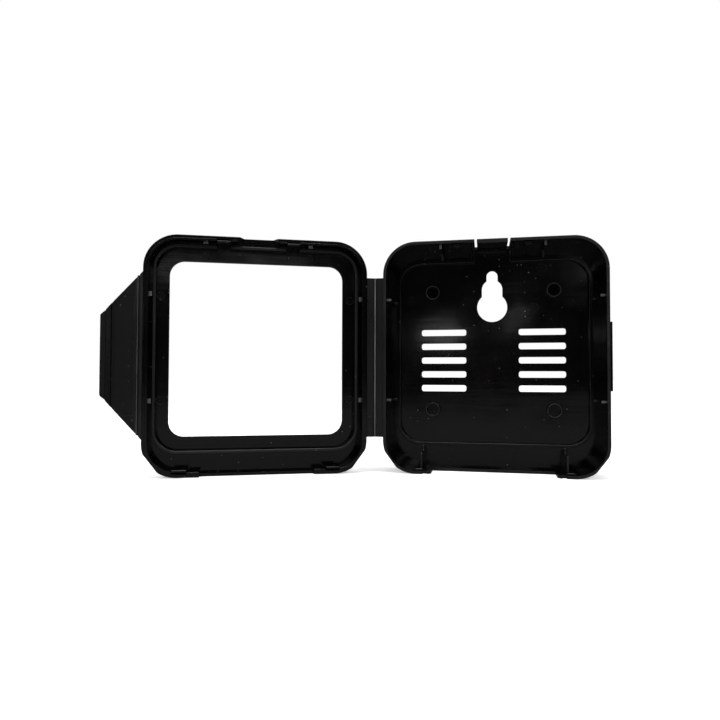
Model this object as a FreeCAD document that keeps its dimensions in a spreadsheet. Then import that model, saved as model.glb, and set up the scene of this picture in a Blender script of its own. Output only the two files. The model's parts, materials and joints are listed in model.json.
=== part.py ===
import FreeCAD, Part
import math
import os
import re
import Sketcher

# Book-style enclosure for a square mobile hotspot: a back tray and a framed cover
# joined by a living hinge, with a closure flap on the cover's free edge.
# Every piece is drawn with x across, z up and y as depth behind the parting plane.

os.makedirs("parts", exist_ok=True)
doc = FreeCAD.newDocument("HotspotEnclosure")
sheet = doc.addObject("Spreadsheet::Sheet", "Sizes")

sizes = {
    "device_width": 105.3,
    "device_height": 105.5,
    "side_gutter": 2.4,
    "top_gutter": 2.4,
    "foot_gutter": 10.4,
    "corner_radius": 17,
    "wall": 1.6,
    "tray_depth": 22.1,
    "back_thickness": 1.8,
    "cover_depth": 9.6,
    "face_thickness": 1.6,
    "parting_gap": 0.25,
    "back_edge_radius": 1.2,
    "rim_radius": 0.3,
    "open_tilt": 22.9,
    "facet_chord": 10.3,
    "cover_facet_chord": 12,
    "facet_angle": 37,
    "ring_side_inset": 1.5,
    "ring_end_inset": 3.45,
    "ring_foot_inset": 1.4,
    "ring_thickness": 1.6,
    "ring_rise": 3,
    "ring_corner_step": 4.5,
    "gusset_pitch": 53.2,
    "gusset_thickness": 1.3,
    "gusset_drop": 3,
    "gusset_foot_rise": 3.3,
    "tab_width": 15.6,
    "slit_width": 1.25,
    "tab_play": 0.15,
    "tab_hook_depth": 2.4,
    "tab_hook_rise": 0.7,
    "tab_gap": 0.3,
    "root_rib_rise": 0.7,
    "keyhole_head": 16,
    "keyhole_throat": 10.9,
    "keyhole_throat_length": 15.2,
    "keyhole_neck": 5.9,
    "keyhole_neck_length": 4.65,
    "keyhole_margin": 4.25,
    "slot_length": 24.4,
    "slot_height": 3.45,
    "slot_corner": 1.25,
    "slot_pitch": 7.62,
    "slot_top_lift": 14,
    "slot_column": 26.1,
    "pip_diameter": 2.3,
    "pip_rise": 0.5,
    "pip_shift": 0.9,
    "mark_diameter": 5,
    "mark_depth": 0.15,
    "boss_pitch": 63.9,
    "boss_outer": 7.8,
    "boss_bore": 6.2,
    "lug_offset": 18.2,
    "lug_width": 3.8,
    "lug_rise": 0.9,
    "lug_drop": 1.6,
    "bead_rise": 0.7,
    "bead_drop": 3.4,
    "bead_height": 1.6,
    "foot_lug_margin": 1.85,
    "foot_lug_width": 3.6,
    "foot_lug_rise": 1.2,
    "foot_lug_drop": 1,
    "foot_lug_height": 5,
    "bay_margin": 2.65,
    "bay_rib_thickness": 1.4,
    "bay_rib_drop": 6,
    "bay_rib_run": 8.8,
    "cable_margin": 7.95,
    "cable_drop": 14,
    "cable_step_margin": 3.75,
    "cable_step_drop": 2.5,
    "prong_diameter": 1.5,
    "prong_length": 1.9,
    "prong_inset": 1.4,
    "strike_height": 34.3,
    "strike_fit": 0.25,
    "strike_drop": 0.5,
    "strike_clearance": 0.6,
    "window_margin": 7.9,
    "window_drop": 0.25,
    "window_corner": 7.6,
    "tongue_fit": 0.25,
    "tongue_thickness": 1,
    "tongue_rise": 1.2,
    "notch_half": 9.8,
    "notch_foot_half": 7.4,
    "notch_depth": 4.5,
    "tongue_notch_half": 10.6,
    "foot_cut_margin": 10.85,
    "foot_cut_depth": 3,
    "cover_ring_side_inset": 0.35,
    "cover_ring_top_inset": 0.15,
    "cover_ring_foot_reach": 0.65,
    "cover_ring_rise": 4.5,
    "cover_gusset_width": 2.4,
    "cover_gusset_drop": 0.9,
    "catch_shift": 0.6,
    "catch_width": 6.8,
    "catch_thickness": 1.1,
    "catch_rise": 2.2,
    "catch_fit": 0.25,
    "pad_depth": 0.3,
    "pad_margin": 8.15,
    "catch_side_gap": 0.1,
    "mark_margin": 0.1,
    "cover_mark_diameter": 4,
    "cover_mark_drop": 6.8,
    "foot_catch_margin": 1.25,
    "foot_catch_width": 7.4,
    "flange_width": 4.25,
    "flange_margin": 1.75,
    "flange_thickness": 1.2,
    "flange_gap": 0.15,
    "bead_gap": 0.5,
    "hinge_bead": 0.9,
    "flap_hinge_offset": 2,
    "flap_hinge_depth": 1,
    "flap_thickness": 1.2,
    "flap_skin_depth": 0.3,
    "flap_bevel": 0.6,
    "flap_edge_gap": 0.4,
    "flap_bead": 0.7,
    "flap_base_margin": 2.15,
    "flap_waist_reach": 13.2,
    "flap_waist_half": 26.65,
    "flap_hook_reach": 14.2,
    "flap_hook_width": 2.6,
    "flap_hook_fit": 0.3,
    "flap_hook_half": 25.4,
    "flap_lip_width": 2.8,
    "flap_lip_half": 22.2,
    "flap_lip_end_half": 19.8,
    "flap_lip_corner": 1.6,
    "flap_recess_half": 29.8,
    "flap_recess_depth": 0.25,
    "flap_recess_inset": 1.6,
    "flap_recess_margin": 1,
    "flap_recess_start": 3.8,
}
for row, (alias, value) in enumerate(sizes.items(), start=1):
    sheet.set(f"A{row}", alias)
    sheet.set(f"B{row}", str(value))
    sheet.setAlias(f"B{row}", alias)
doc.recompute()


derived = {
    "outer_width": "device_width + 2 * ( wall + side_gutter )",
    "outer_height": "device_height + 2 * wall + top_gutter + foot_gutter",
    "device_lift": "( foot_gutter - top_gutter ) / 2",
    "half_width": "outer_width / 2",
    "half_height": "outer_height / 2",
    "inner_half_width": "half_width - wall",
    "inner_half_height": "half_height - wall",
    "straight_half_width": "half_width - corner_radius",
    "floor_depth": "tray_depth - back_thickness",
    "face_depth": "cover_depth - face_thickness",
    "pocket_half": "device_width / 2",
    "pocket_top": "device_lift + device_height / 2",
    "pocket_foot": "device_lift - device_height / 2",
    "ring_half": "pocket_half - ring_side_inset",
    "ring_top": "pocket_top - ring_end_inset",
    "ring_foot": "pocket_foot + ring_foot_inset",
    "ring_crest": "floor_depth - ring_rise",
    "ring_corner": "corner_radius - ring_corner_step",
    "gusset_foot_drop": "floor_depth - gusset_foot_rise",
    "keyhole_neck_top": "ring_top - ring_thickness - keyhole_margin",
    "keyhole_throat_top": "keyhole_neck_top - keyhole_neck_length",
    "keyhole_head_lift": "keyhole_throat_top - keyhole_throat_length",
    "foot_lug_offset": "straight_half_width - foot_lug_margin",
    "foot_catch_offset": "straight_half_width - foot_catch_margin",
    "bay_half": "straight_half_width - bay_margin",
    "cable_half": "straight_half_width - cable_margin",
    "cable_step_half": "straight_half_width - cable_step_margin",
    "foot_cut_half": "straight_half_width - foot_cut_margin",
    "catch_offset": "lug_offset - catch_shift",
    "pad_foot": "inner_half_height - pad_margin",
    "cover_middle": "flange_width + half_width",
    "cover_edge": "flange_width + outer_width",
    "cover_ring_half": "pocket_half - cover_ring_side_inset",
    "cover_ring_top": "pocket_top - cover_ring_top_inset",
    "cover_ring_foot": "pocket_foot - cover_ring_foot_reach",
    "window_half_width": "pocket_half - window_margin",
    "window_top": "pocket_top - window_margin - window_drop",
    "window_foot": "pocket_foot + window_margin - window_drop",
    "flange_half": "half_height - corner_radius - flange_margin",
    "flap_hinge": "cover_edge + flap_hinge_offset",
    "flap_inner_gap": "flap_hinge_offset - flap_hinge_depth + flap_skin_depth",
    "flap_hook_rise": "flap_inner_gap - flap_hook_fit",
    "flap_base_half": "half_height - corner_radius - flap_base_margin",
    "flap_lip_start": "flap_hook_reach + flap_hook_width",
    "flap_lip_reach": "flap_lip_start + flap_lip_width",
    "flap_slope": "( flap_base_half - flap_waist_half ) / flap_waist_reach",
    "strike_rise": "flap_inner_gap - strike_fit",
    "strike_end": "flap_hook_reach - flap_hinge_offset - flap_hinge_depth - strike_clearance",
}


def spell(text):
    """Turns size names into full references to the sheet's cells."""

    def expand(word):
        name = word[0]
        if name in derived:
            return "( " + spell(derived[name]) + " )"
        return "Sizes." + name if name in sizes else name

    return re.sub("[a-z_]+", expand, text)


def measure(text):
    return float(sheet.evalExpression(spell(text)))


def bind(feature, prop, text):
    feature.setExpression(prop, spell(text))


tray_offset = ("0", "-tray_depth", "0")
cover_offset = ("-( outer_width / 2 + flange_width )", "-tray_depth", "0")
pieces = []


def seat(piece, label, on_cover=False):
    """Names a finished piece and puts it at its place in the whole part."""
    piece.Label = label
    piece.Placement = FreeCAD.Placement(
        FreeCAD.Vector(0, 0, 0), FreeCAD.Rotation(FreeCAD.Vector(0, 0, 1), 1)
    )
    for axis, text in zip("xyz", cover_offset if on_cover else tray_offset):
        bind(piece, f"Placement.Base.{axis}", text)
    bind(piece, "Placement.Rotation.Angle", "open_tilt" if on_cover else "0")
    pieces.append(piece)


def point(x, z):
    return FreeCAD.Vector(x, z, 0)


def new_body(name):
    return doc.addObject("PartDesign::Body", name)


def new_sketch(body, depth="0"):
    """Starts a sketch facing the viewer at a depth behind the parting plane."""
    sketch = body.newObject("Sketcher::SketchObject", body.Name + "Sketch")
    for plane in body.Origin.OriginFeatures:
        if plane.Role == "XZ_Plane":
            sketch.AttachmentSupport = [(plane, "")]
    sketch.MapMode = "FlatFace"
    bind(sketch, "AttachmentOffset.Base.z", f"-( {depth} )")
    return sketch


def constrain(sketch, kind, target, text):
    index = sketch.addConstraint(Sketcher.Constraint(kind, *target, measure(text)))
    bind(sketch, f"Constraints[{index}]", text)


def add_line(sketch, start, end):
    return sketch.addGeometry(Part.LineSegment(point(*start), point(*end)))


def add_arc(sketch, centre, radius, start_deg, sweep_deg):
    circle = Part.Circle(point(*centre), FreeCAD.Vector(0, 0, 1), radius)
    start = math.radians(start_deg)
    return sketch.addGeometry(
        Part.ArcOfCircle(circle, start, start + math.radians(sweep_deg))
    )


def draw_polygon(sketch, corners):
    """Draws a closed outline whose corners are given as pairs of size texts."""
    places = [(measure(x), measure(z)) for x, z in corners]
    count = len(places)
    lines = []
    for i in range(count):
        lines.append(add_line(sketch, places[i], places[(i + 1) % count]))
    for i in range(count):
        following = lines[(i + 1) % count]
        sketch.addConstraint(Sketcher.Constraint("Coincident", lines[i], 2, following, 1))
    for line, (x, z) in zip(lines, corners):
        constrain(sketch, "DistanceX", (line, 1), x)
        constrain(sketch, "DistanceY", (line, 1), z)


def draw_block(sketch, left, right, low, high):
    draw_polygon(sketch, [(left, low), (right, low), (right, high), (left, high)])


def draw_rounded(sketch, left, right, low, high, radius):
    """Draws a rectangle with round corners, its sides given as size texts."""
    x0, x1 = measure(left), measure(right)
    z0, z1 = measure(low), measure(high)
    rad = measure(radius)
    sides = [
        add_line(sketch, (x0 + rad, z0), (x1 - rad, z0)),
        add_arc(sketch, (x1 - rad, z0 + rad), rad, -90, 90),
        add_line(sketch, (x1, z0 + rad), (x1, z1 - rad)),
        add_arc(sketch, (x1 - rad, z1 - rad), rad, 0, 90),
        add_line(sketch, (x1 - rad, z1), (x0 + rad, z1)),
        add_arc(sketch, (x0 + rad, z1 - rad), rad, 90, 90),
        add_line(sketch, (x0, z1 - rad), (x0, z0 + rad)),
        add_arc(sketch, (x0 + rad, z0 + rad), rad, 180, 90),
    ]
    for i in range(8):
        following = sides[(i + 1) % 8]
        sketch.addConstraint(Sketcher.Constraint("Tangent", sides[i], 2, following, 1))
    for i, direction in ((0, "Horizontal"), (2, "Vertical"), (4, "Horizontal"), (6, "Vertical")):
        sketch.addConstraint(Sketcher.Constraint(direction, sides[i]))
    for i in (3, 5, 7):
        sketch.addConstraint(Sketcher.Constraint("Equal", sides[1], sides[i]))
    constrain(sketch, "Radius", (sides[1],), radius)
    constrain(sketch, "DistanceX", (sides[6], 1), left)
    constrain(sketch, "DistanceX", (sides[2], 1), right)
    constrain(sketch, "DistanceY", (sides[0], 1), low)
    constrain(sketch, "DistanceY", (sides[4], 1), high)


def draw_upright_slot(sketch, low, high, width):
    """Draws a slot with round ends that stands on the sketch's middle line."""
    rad = measure(width) / 2
    z0, z1 = measure(low) + rad, measure(high) - rad
    loop = [
        add_arc(sketch, (0, z1), rad, 0, 180),
        add_line(sketch, (-rad, z1), (-rad, z0)),
        add_arc(sketch, (0, z0), rad, 180, 180),
        add_line(sketch, (rad, z0), (rad, z1)),
    ]
    for i in range(4):
        following = loop[(i + 1) % 4]
        sketch.addConstraint(Sketcher.Constraint("Tangent", loop[i], 2, following, 1))
    sketch.addConstraint(Sketcher.Constraint("Equal", loop[0], loop[2]))
    sketch.addConstraint(Sketcher.Constraint("Vertical", loop[1]))
    constrain(sketch, "Radius", (loop[0],), f"{width} / 2")
    constrain(sketch, "DistanceX", (loop[0], 3), "0")
    constrain(sketch, "DistanceY", (loop[0], 3), f"{high} - {width} / 2")
    constrain(sketch, "DistanceY", (loop[2], 3), f"{low} + {width} / 2")


def draw_circle(sketch, x, z, diameter):
    circle = Part.Circle(point(measure(x), measure(z)), FreeCAD.Vector(0, 0, 1), 1)
    index = sketch.addGeometry(circle)
    constrain(sketch, "Radius", (index,), f"{diameter} / 2")
    constrain(sketch, "DistanceX", (index, 3), x)
    constrain(sketch, "DistanceY", (index, 3), z)


def pad(body, sketch, length, forward=False):
    """Raises a sketch away from the viewer, or towards the viewer when forward."""
    feature = body.newObject("PartDesign::Pad", body.Name + "Pad")
    feature.Profile = sketch
    feature.Reversed = not forward
    bind(feature, "Length", length)
    doc.recompute()
    return feature


def cut(body, sketch, length):
    """Sinks a sketch into the body away from the viewer and checks that it cut."""
    before = body.Shape.Volume
    feature = body.newObject("PartDesign::Pocket", body.Name + "Cut")
    feature.Profile = sketch
    bind(feature, "Length", length)
    doc.recompute()
    if body.Shape.Volume >= before - 1e-6:
        raise RuntimeError(f"{body.Name}: a pocket cut nothing")
    return feature


def fillet(body, base, wanted, radius):
    """Rounds the edges of a feature that the test picks."""
    edges = []
    for number, edge in enumerate(base.Shape.Edges, start=1):
        if wanted(edge):
            edges.append(f"Edge{number}")
    feature = body.newObject("PartDesign::Fillet", body.Name + "Round")
    feature.Base = (base, edges)
    bind(feature, "Radius", radius)
    doc.recompute()
    return feature


def lies_at_depth(depth):
    level = measure(depth)

    def wanted(edge):
        box = edge.BoundBox
        return abs(box.YMin - level) < 1e-4 and abs(box.YMax - level) < 1e-4

    return wanted


def stands_at(x):
    """Picks edges that run along the depth at one x."""
    place = measure(x)

    def wanted(edge):
        box = edge.BoundBox
        return abs(box.XMin - place) < 1e-4 and abs(box.XMax - place) < 1e-4 and box.ZLength < 1e-4

    return wanted


def box(x0, x1, y0, y1, z0, z1):
    """Adds a box between two x, two depth and two z values, all size texts."""
    shape = doc.addObject("Part::Box", "Block")
    for prop, low, high in (("Length", x0, x1), ("Width", y0, y1), ("Height", z0, z1)):
        bind(shape, prop, f"( {high} ) - ( {low} )")
    for axis, low in zip("xyz", (x0, y0, z0)):
        bind(shape, f"Placement.Base.{axis}", low)
    return shape


def tube(x, z, y0, y1, diameter, upright=False):
    """Adds a cylinder along the depth, or along z between y0 and y1 when upright."""
    shape = doc.addObject("Part::Cylinder", "Round")
    bind(shape, "Radius", f"{diameter} / 2")
    bind(shape, "Height", f"( {y1} ) - ( {y0} )")
    if upright:
        places = (x, z, y0)
    else:
        places = (x, y0, z)
        shape.Placement = FreeCAD.Placement(
            FreeCAD.Vector(0, 0, 0), FreeCAD.Rotation(FreeCAD.Vector(1, 0, 0), -90)
        )
    for axis, text in zip("xyz", places):
        bind(shape, f"Placement.Base.{axis}", text)
    return shape


def wedge(corners, y0, y1, name="Wedge"):
    """Adds a prism over an outline in x and z between two depths."""
    body = new_body(name)
    sketch = new_sketch(body, y0)
    draw_polygon(sketch, corners)
    pad(body, sketch, f"( {y1} ) - ( {y0} )")
    return body


def fuse(name, shapes):
    joined = doc.addObject("Part::MultiFuse", name)
    joined.Shapes = shapes
    joined.Refine = True
    return joined


def difference(name, base, tool):
    result = doc.addObject("Part::Cut", name)
    result.Base = base
    result.Tool = tool
    return result


def gather(name, shapes):
    group = doc.addObject("Part::Compound", name)
    group.Links = shapes
    return group


def cut_corner_facets(body, left, right, chord, from_depth, length):
    """Planes a short flat on each lower corner of a shell."""
    reach = f"sqrt( corner_radius ^ 2 - ( {chord} / 2 ) ^ 2 )"
    low = "-( outer_height / 2 - corner_radius )"
    for x, angle in (
        (f"{right} - corner_radius", "-facet_angle"),
        (f"{left} + corner_radius", "180 + facet_angle"),
    ):
        sketch = new_sketch(body, from_depth)
        offset = sketch.AttachmentOffset
        offset.Rotation = FreeCAD.Rotation(FreeCAD.Vector(0, 0, 1), 1)
        sketch.AttachmentOffset = offset
        bind(sketch, "AttachmentOffset.Base.x", x)
        bind(sketch, "AttachmentOffset.Base.y", low)
        bind(sketch, "AttachmentOffset.Rotation.Angle", angle)
        draw_block(sketch, reach, "corner_radius + 1", f"-{chord}", chord)
        cut(body, sketch, length)


def make_back_panel():
    body = new_body("BackPanel")
    sketch = new_sketch(body, "floor_depth")
    draw_rounded(
        sketch,
        "-inner_half_width",
        "inner_half_width",
        "-inner_half_height",
        "inner_half_height",
        "corner_radius - wall",
    )
    pad(body, sketch, "back_thickness")
    vents = new_sketch(body, "floor_depth")
    for side in ("-", ""):
        for row in range(5):
            middle = f"slot_top_lift - {row} * slot_pitch"
            draw_rounded(
                vents,
                f"{side}slot_column - slot_length / 2",
                f"{side}slot_column + slot_length / 2",
                f"{middle} - slot_height / 2",
                f"{middle} + slot_height / 2",
                "slot_corner",
            )
    cut(body, vents, "back_thickness")
    head = new_sketch(body, "floor_depth")
    draw_circle(head, "0", "keyhole_head_lift", "keyhole_head")
    cut(body, head, "back_thickness")
    for foot, top, width in (
        ("keyhole_head_lift", "keyhole_throat_top", "keyhole_throat"),
        ("keyhole_throat_top - keyhole_neck", "keyhole_neck_top", "keyhole_neck"),
    ):
        step = new_sketch(body, "floor_depth")
        draw_upright_slot(step, foot, top, width)
        cut(body, step, "back_thickness")
    pips = new_sketch(body, "floor_depth")
    for side in ("-", ""):
        for row in range(4):
            draw_circle(
                pips,
                f"{side}( slot_column + pip_shift )",
                f"slot_top_lift - {row + 0.5} * slot_pitch",
                "pip_diameter",
            )
    pad(body, pips, "pip_rise", forward=True)
    marks = new_sketch(body, "floor_depth")
    for x, z in (
        (-43.6, 32),
        (40, 29.3),
        (26, 48),
        (21.8, 27),
        (-41.2, -36.4),
        (22, -24),
        (-21.8, -24),
        (41, -37),
    ):
        draw_circle(marks, str(x), str(z), "mark_diameter")
    cut(body, marks, "mark_depth")
    seat(body, "back_panel")


def make_tray_wall():
    body = new_body("TrayWall")
    outline = new_sketch(body)
    draw_rounded(
        outline,
        "-half_width",
        "half_width",
        "-half_height",
        "half_height",
        "corner_radius",
    )
    shell = pad(body, outline, "tray_depth")
    shell = fillet(body, shell, lies_at_depth("tray_depth"), "back_edge_radius")
    shell = fillet(body, shell, lies_at_depth("0"), "rim_radius")
    cavity = new_sketch(body)
    draw_rounded(
        cavity,
        "-inner_half_width",
        "inner_half_width",
        "-inner_half_height",
        "inner_half_height",
        "corner_radius - wall",
    )
    cut(body, cavity, "tray_depth")
    gate = new_sketch(body)
    side = "( tab_width / 2 + slit_width )"
    draw_block(gate, f"-{side}", side, "half_height - wall - 1", "half_height + 1")
    cut(body, gate, "floor_depth")
    for half, drop in (("cable_half", "cable_drop"), ("cable_step_half", "cable_step_drop")):
        mouth = new_sketch(body)
        draw_block(
            mouth, f"-{half}", half, "-half_height - 1", "-half_height + wall + 1"
        )
        cut(body, mouth, drop)
    cut_corner_facets(body, "-half_width", "half_width", "facet_chord", "0", "tray_depth")
    seat(body, "tray_wall")


def make_support_ring():
    body = new_body("SupportRing")
    sketch = new_sketch(body, "ring_crest")
    draw_rounded(sketch, "-ring_half", "ring_half", "ring_foot", "ring_top", "ring_corner")
    ring = pad(body, sketch, "ring_rise")
    arms = new_sketch(body, "ring_crest")
    gap = "( tab_width / 2 + slit_width + tab_gap )"
    for left, right in (
        (f"-{gap} - ring_thickness", f"-{gap}"),
        (gap, f"{gap} + ring_thickness"),
    ):
        draw_block(arms, left, right, "ring_top - ring_thickness", "inner_half_height")
    pad(body, arms, "ring_rise")
    well = new_sketch(body, "ring_crest")
    draw_rounded(
        well,
        "-ring_half + ring_thickness",
        "ring_half - ring_thickness",
        "ring_foot + ring_thickness",
        "ring_top - ring_thickness",
        "ring_corner - ring_thickness",
    )
    cut(body, well, "ring_rise")
    gate = new_sketch(body, "ring_crest")
    draw_block(gate, f"-{gap}", gap, "ring_top - ring_thickness - 1", "ring_top + 1")
    cut(body, gate, "ring_rise")
    seat(body, "support_ring")


def make_gussets():
    """Six two-step gussets stand between the wall and the support ring."""
    thick = "gusset_thickness / 2"
    shapes = []
    for side in (-1, 1):
        for level in (-1, 1):
            z = f"( device_lift + {level} * gusset_pitch / 2 )"
            for inner, outer, top in (
                ("pocket_half", "inner_half_width", "gusset_drop"),
                ("ring_half", "pocket_half", "gusset_foot_drop"),
            ):
                low, high = (f"-{outer}", f"-{inner}") if side < 0 else (inner, outer)
                shapes.append(
                    box(low, high, top, "floor_depth", f"{z} - {thick}", f"{z} + {thick}")
                )
    for side in (-1, 1):
        x = f"( {side} * gusset_pitch / 2 )"
        for low, high, top in (
            ("pocket_top", "inner_half_height", "gusset_drop"),
            ("ring_top", "pocket_top", "gusset_foot_drop"),
        ):
            shapes.append(box(f"{x} - {thick}", f"{x} + {thick}", top, "floor_depth", low, high))
    seat(fuse("TrayGussets", shapes), "tray_gussets")


def make_standoff_bosses():
    shapes = []
    for side in (-1, 1):
        for level in (-1, 1):
            x = f"{side} * boss_pitch / 2"
            z = f"device_lift + {level} * boss_pitch / 2"
            post = tube(x, z, "ring_crest", "floor_depth", "boss_outer")
            bore = tube(x, z, "ring_crest - 1", "floor_depth + 1", "boss_bore")
            shapes.append(difference("Boss", post, bore))
    seat(gather("StandoffBosses", shapes), "standoff_bosses")


def make_tray_snap_lugs():
    """Two ribs inside the top wall, each with a snap bead below the rim."""
    shapes = []
    for side in (-1, 1):
        x = f"( {side} * lug_offset )"
        left, right = f"{x} - lug_width / 2", f"{x} + lug_width / 2"
        rib = box(
            left, right, "lug_drop", "floor_depth", "inner_half_height - lug_rise", "inner_half_height"
        )
        bead = box(
            left,
            right,
            "bead_drop",
            "bead_drop + bead_height",
            "inner_half_height - lug_rise - bead_rise",
            "inner_half_height - lug_rise",
        )
        shapes += [rib, bead]
    seat(fuse("TraySnapLugs", shapes), "tray_snap_lugs")


def make_tray_foot_lugs():
    shapes = []
    for side in (-1, 1):
        x = f"( {side} * foot_lug_offset )"
        shapes.append(
            box(
                f"{x} - foot_lug_width / 2",
                f"{x} + foot_lug_width / 2",
                "foot_lug_drop",
                "foot_lug_drop + foot_lug_height",
                "-inner_half_height",
                "-inner_half_height + foot_lug_rise",
            )
        )
    seat(gather("TrayFootLugs", shapes), "tray_foot_lugs")


def make_cable_bay_ribs():
    """Two stepped ribs flank the space where the cable's plug lies."""
    shapes = []
    for side in (-1, 1):
        x = f"( {side} * bay_half )"
        left, right = f"{x} - bay_rib_thickness / 2", f"{x} + bay_rib_thickness / 2"
        knee = "-inner_half_height + bay_rib_run"
        shapes.append(
            box(left, right, "bay_rib_drop", "floor_depth", "-inner_half_height", knee)
        )
        shapes.append(box(left, right, "gusset_foot_drop", "floor_depth", knee, "ring_foot"))
    seat(fuse("CableBayRibs", shapes), "cable_bay_ribs")


def make_cable_prongs():
    shapes = []
    for side in (-1, 1):
        shapes.append(
            tube(
                f"{side} * ( cable_half + prong_inset )",
                "-half_height + wall / 2",
                "cable_step_drop - prong_length",
                "cable_step_drop",
                "prong_diameter",
            )
        )
    seat(gather("CableProngs", shapes), "cable_prongs")


def make_latch_tab():
    """A springy tongue of the top wall, free at the rim and rooted at the back."""
    plate = box(
        "-tab_width / 2",
        "tab_width / 2",
        "0",
        "floor_depth - tab_play",
        "half_height - wall",
        "half_height",
    )
    hook = box(
        "-tab_width / 2",
        "tab_width / 2",
        "0",
        "tab_hook_depth",
        "half_height - wall - tab_hook_rise",
        "half_height - wall",
    )
    seat(fuse("LatchTab", [plate, hook]), "latch_tab")
    root = box(
        "-tab_width / 2",
        "tab_width / 2",
        "floor_depth - root_rib_rise",
        "floor_depth",
        "inner_half_height - wall - tab_gap",
        "inner_half_height - tab_gap",
    )
    seat(gather("LatchRootRib", [root]), "latch_root_rib")


def make_strike_ledge():
    ledge = box(
        "half_width",
        "half_width + strike_rise",
        "strike_drop",
        "strike_end",
        "-strike_height / 2",
        "strike_height / 2",
    )
    seat(gather("StrikeLedge", [ledge]), "strike_ledge")


def make_hinge_flanges():
    """Each half carries a strip beside the thin web that joins the two."""
    top, low = "flange_gap + flange_thickness", "-flange_half"
    tray_strip = box(
        "-half_width - flange_width + bead_gap",
        "-half_width",
        "flange_gap",
        top,
        low,
        "flange_half",
    )
    seat(gather("TrayHingeFlange", [tray_strip]), "tray_hinge_flange")
    cover_strip = box(
        "-flange_width", "-bead_gap", "flange_gap", top, low, "flange_half"
    )
    seat(gather("CoverHingeFlange", [cover_strip]), "cover_hinge_flange", True)
    bead = tube(
        "-half_width - flange_width", "0", low, "flange_half", "hinge_bead", True
    )
    seat(gather("LivingHinge", [bead]), "living_hinge_web")


def make_cover_wall():
    body = new_body("CoverWall")
    left, right = "-cover_edge", "-flange_width"
    outline = new_sketch(body, "parting_gap")
    draw_rounded(
        outline, left, right, "-half_height", "half_height", "corner_radius"
    )
    shell = pad(body, outline, "cover_depth - parting_gap")
    shell = fillet(body, shell, lies_at_depth("cover_depth"), "back_edge_radius")
    shell = fillet(body, shell, lies_at_depth("parting_gap"), "rim_radius")
    cavity = new_sketch(body, "parting_gap")
    draw_rounded(
        cavity,
        f"{left} + wall",
        f"{right} - wall",
        "-inner_half_height",
        "inner_half_height",
        "corner_radius - wall",
    )
    cut(body, cavity, "cover_depth - parting_gap")
    foot = new_sketch(body, "parting_gap")
    draw_block(
        foot,
        "-cover_middle - foot_cut_half",
        "-cover_middle + foot_cut_half",
        "-half_height - 1",
        "-half_height + wall + 1",
    )
    cut(body, foot, "foot_cut_depth")
    cut_corner_facets(
        body, left, right, "cover_facet_chord", "parting_gap", "cover_depth - parting_gap"
    )
    notch = Part.makePolygon(
        [
            FreeCAD.Vector(x, y, 0)
            for x, y in (
                (-measure("notch_half"), -1),
                (-measure("notch_half"), measure("parting_gap")),
                (-measure("notch_foot_half"), measure("parting_gap + notch_depth")),
                (measure("notch_foot_half"), measure("parting_gap + notch_depth")),
                (measure("notch_half"), measure("parting_gap")),
                (measure("notch_half"), -1),
                (-measure("notch_half"), -1),
            )
        ]
    )
    gate = doc.addObject("Part::Feature", "NotchGate")
    gate.Shape = Part.Face(notch).extrude(
        FreeCAD.Vector(0, 0, measure("corner_radius"))
    )
    bind(gate, "Placement.Base.x", "-cover_middle")
    bind(gate, "Placement.Base.z", "half_height - corner_radius / 2")
    seat(difference("CoverWallNotched", body, gate), "cover_wall", True)


def make_cover_face():
    body = new_body("CoverFace")
    plate = new_sketch(body, "face_depth")
    draw_rounded(
        plate,
        "-cover_edge + wall",
        "-flange_width - wall",
        "-inner_half_height",
        "inner_half_height",
        "corner_radius - wall",
    )
    pad(body, plate, "face_thickness")
    window = new_sketch(body, "face_depth")
    draw_rounded(
        window,
        "-cover_middle - window_half_width",
        "-cover_middle + window_half_width",
        "window_foot",
        "window_top",
        "window_corner",
    )
    cut(body, window, "face_thickness")
    pads = new_sketch(body, "face_depth")
    for side in (-1, 1):
        x = f"( -cover_middle + {side} * catch_offset )"
        draw_block(
            pads,
            f"{x} - catch_width / 2",
            f"{x} + catch_width / 2",
            "pad_foot",
            "inner_half_height - lug_rise - catch_fit",
        )
    cut(body, pads, "pad_depth")
    marks = new_sketch(body, "face_depth")
    column = "( cover_ring_half - ring_thickness - mark_margin - cover_mark_diameter / 2 )"
    for side in (-1, 1):
        for level in (-1, 1):
            draw_circle(
                marks,
                f"-cover_middle + {side} * {column}",
                f"device_lift + {level} * gusset_pitch / 2",
                "cover_mark_diameter",
            )
        draw_circle(
            marks,
            f"-cover_middle + {side} * gusset_pitch / 2",
            "inner_half_height - cover_mark_drop",
            "cover_mark_diameter",
        )
    cut(body, marks, "mark_depth")
    seat(body, "cover_face", True)


def ring_at(sketch, inset):
    draw_rounded(
        sketch,
        f"-cover_edge + {inset}",
        f"-flange_width - {inset}",
        f"-half_height + {inset}",
        f"half_height - {inset}",
        f"corner_radius - {inset}",
    )


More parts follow.
